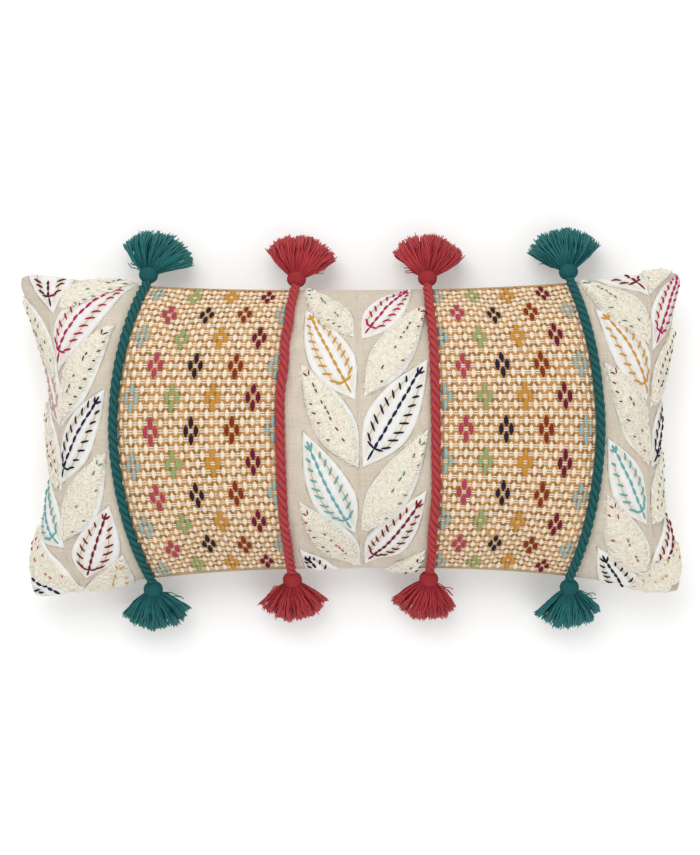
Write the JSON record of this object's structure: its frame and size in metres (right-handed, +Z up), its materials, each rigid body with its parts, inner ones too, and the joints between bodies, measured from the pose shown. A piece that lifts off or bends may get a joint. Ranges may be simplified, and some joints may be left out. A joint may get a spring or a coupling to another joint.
{
  "type": "throw pillow",
  "caption": "Stuffed lumbar throw pillow with a pieced leaf applique cover, corded seams, hanging yarn tassels and a zipped back.",
  "frame": {"origin": "on the table under the middle of the whole object, tassels included", "axes": "+X along the length, +Y across the width to the side shown uppermost, +Z up out of the front cover; the pillow lies on its back"},
  "size_m": [0.607, 0.3645, 0.1284],
  "materials": {
    "oatmeal_linen": "plain weave, matt",
    "woven_panel": "honeycomb weave with raised floats, matt",
    "white_cotton": "felted cotton, matt",
    "looped_cotton": "loose looped pile, matt",
    "back_cotton": "plain weave, matt",
    "casing_cotton": "plain weave, matt",
    "polyester_filling": "loose fibre",
    "teal_yarn": "twisted cotton yarn, matt",
    "coral_yarn": "twisted cotton yarn, matt",
    "zip_tape": "woven tape, matt",
    "zip_coil": "satin",
    "nickel": "satin nickel plate"
  },
  "bodies": {
    "cover": {"back_lower_panel": "back_cotton", "back_main_panel": "back_cotton", "cord_left_inner": "coral_yarn", "cord_left_outer": "teal_yarn", "cord_right_inner": "coral_yarn", "cord_right_outer": "teal_yarn", "front_centre_leaf_panel": "oatmeal_linen", "front_left_leaf_panel": "oatmeal_linen", "front_left_woven_panel": "woven_panel", "front_right_leaf_panel": "oatmeal_linen", "front_right_woven_panel": "woven_panel", "insert_back_casing": "casing_cotton", "insert_fill": "polyester_filling", "insert_front_casing": "casing_cotton", "leaf_centre_left_1_textured": "looped_cotton", "leaf_centre_left_2_white": "white_cotton", "leaf_centre_left_3_textured": "looped_cotton", "leaf_centre_left_4_white": "white_cotton", "leaf_centre_left_5_textured": "looped_cotton", "leaf_centre_right_1_white": "white_cotton", "leaf_centre_right_2_textured": "looped_cotton", "leaf_centre_right_3_white": "white_cotton", "leaf_centre_right_4_textured": "looped_cotton", "leaf_centre_right_5_white": "white_cotton", "leaf_left_1_textured": "looped_cotton", "leaf_left_2_white": "white_cotton", "leaf_left_3_textured": "looped_cotton", "leaf_left_4_white": "white_cotton", "leaf_left_5_textured": "looped_cotton", "leaf_right_1_textured": "looped_cotton", "leaf_right_2_white": "white_cotton", "leaf_right_3_textured": "looped_cotton", "leaf_right_4_white": "white_cotton", "leaf_right_5_textured": "looped_cotton", "zip_bottom_stop": "nickel", "zip_tape_lower": "zip_tape", "zip_tape_upper": "zip_tape", "zip_teeth_lower": "zip_coil", "zip_teeth_upper": "zip_coil", "zip_top_stop_lower": "nickel", "zip_top_stop_upper": "nickel"},
    "tassel_top_left_outer": {"tassel_head_top_left_outer": "teal_yarn", "tassel_skirt_top_left_outer": "teal_yarn"},
    "tassel_top_left_inner": {"tassel_head_top_left_inner": "coral_yarn", "tassel_skirt_top_left_inner": "coral_yarn"},
    "tassel_top_right_inner": {"tassel_head_top_right_inner": "coral_yarn", "tassel_skirt_top_right_inner": "coral_yarn"},
    "tassel_top_right_outer": {"tassel_head_top_right_outer": "teal_yarn", "tassel_skirt_top_right_outer": "teal_yarn"},
    "tassel_bottom_left_outer": {"tassel_head_bottom_left_outer": "teal_yarn", "tassel_skirt_bottom_left_outer": "teal_yarn"},
    "tassel_bottom_left_inner": {"tassel_head_bottom_left_inner": "coral_yarn", "tassel_skirt_bottom_left_inner": "coral_yarn"},
    "tassel_bottom_right_inner": {"tassel_head_bottom_right_inner": "coral_yarn", "tassel_skirt_bottom_right_inner": "coral_yarn"},
    "tassel_bottom_right_outer": {"tassel_head_bottom_right_outer": "teal_yarn", "tassel_skirt_bottom_right_outer": "teal_yarn"},
    "slider": {"zip_slider": "nickel"},
    "pull": {"zip_pull": "nickel"}
  },
  "joints": [
    {"name": "tassel_top_left_outer_lift", "type": "hinge", "parent": "cover", "child": "tassel_top_left_outer", "pos_m": [-0.18604, 0.1339, 0.0535], "axis": [0.9848, -0.1736, 0], "range_deg": [0, 70]},
    {"name": "tassel_top_left_inner_lift", "type": "hinge", "parent": "cover", "child": "tassel_top_left_inner", "pos_m": [-0.05038, 0.12993, 0.0535], "axis": [0.9903, -0.1392, 0], "range_deg": [0, 70]},
    {"name": "tassel_top_right_inner_lift", "type": "hinge", "parent": "cover", "child": "tassel_top_right_inner", "pos_m": [0.07072, 0.13071, 0.0535], "axis": [0.9986, -0.0523, 0], "range_deg": [0, 70]},
    {"name": "tassel_top_right_outer_lift", "type": "hinge", "parent": "cover", "child": "tassel_top_right_outer", "pos_m": [0.20092, 0.13674, 0.0535], "axis": [0.9945, 0.1045, 0], "range_deg": [0, 70]},
    {"name": "tassel_bottom_left_outer_lift", "type": "hinge", "parent": "cover", "child": "tassel_bottom_left_outer", "pos_m": [-0.181, -0.13673, 0.0535], "axis": [-0.9976, -0.0698, 0], "range_deg": [0, 70]},
    {"name": "tassel_bottom_left_inner_lift", "type": "hinge", "parent": "cover", "child": "tassel_bottom_left_inner", "pos_m": [-0.05327, -0.12807, 0.0535], "axis": [-0.9994, -0.0349, 0], "range_deg": [0, 70]},
    {"name": "tassel_bottom_right_inner_lift", "type": "hinge", "parent": "cover", "child": "tassel_bottom_right_inner", "pos_m": [0.07329, -0.12737, 0.0535], "axis": [-0.9925, 0.1219, 0], "range_deg": [0, 70]},
    {"name": "tassel_bottom_right_outer_lift", "type": "hinge", "parent": "cover", "child": "tassel_bottom_right_outer", "pos_m": [0.20043, -0.13486, 0.0535], "axis": [-0.9986, -0.0523, 0], "range_deg": [0, 70]},
    {"name": "zip_slide", "type": "slide", "parent": "cover", "child": "slider", "axis": [1, 0, 0], "range_m": [-0.342, 0]},
    {"name": "pull_swing", "type": "hinge", "parent": "slider", "child": "pull", "pos_m": [0.171, -0.10695, 0.02248], "axis": [0, -0.7253, 0.6885], "range_deg": [-80, 80]}
  ]
}
